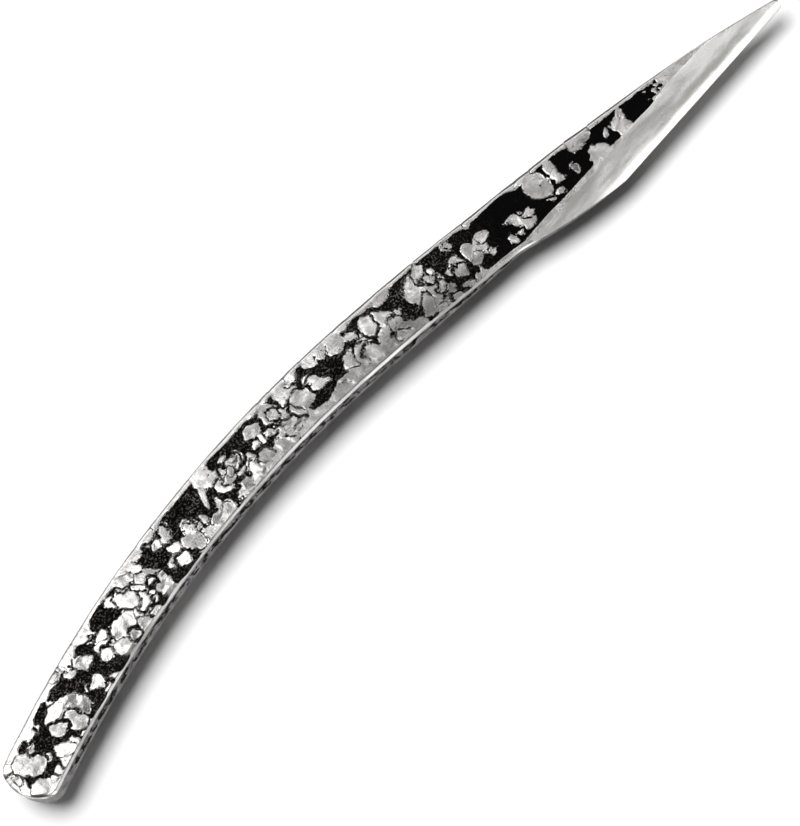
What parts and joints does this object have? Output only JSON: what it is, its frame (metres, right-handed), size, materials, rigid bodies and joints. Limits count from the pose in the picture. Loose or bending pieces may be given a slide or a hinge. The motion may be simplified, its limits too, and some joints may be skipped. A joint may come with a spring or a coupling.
{
  "type": "clay modeling tool",
  "caption": "Forged steel clay modeling tool: a flat bar handle with a gentle edgewise bend, a rounded butt, and a long skew blade with a bevel ground on its face side.",
  "frame": {"origin": "under the middle of the bounding box, on the plane of the tool's flat back", "axes": "+X from the rounded butt to the tip of the blade, +Y to the side that the bend bulges towards, +Z out of the forged face"},
  "size_m": [0.1796, 0.0222, 0.003],
  "materials": {
    "forged_steel": "black forge scale in the hollows, with the raised spots, the long corners and the ground bevel polished bright"
  },
  "bodies": {
    "root": {"forged_bar": "forged_steel"}
  },
  "joints": []
}
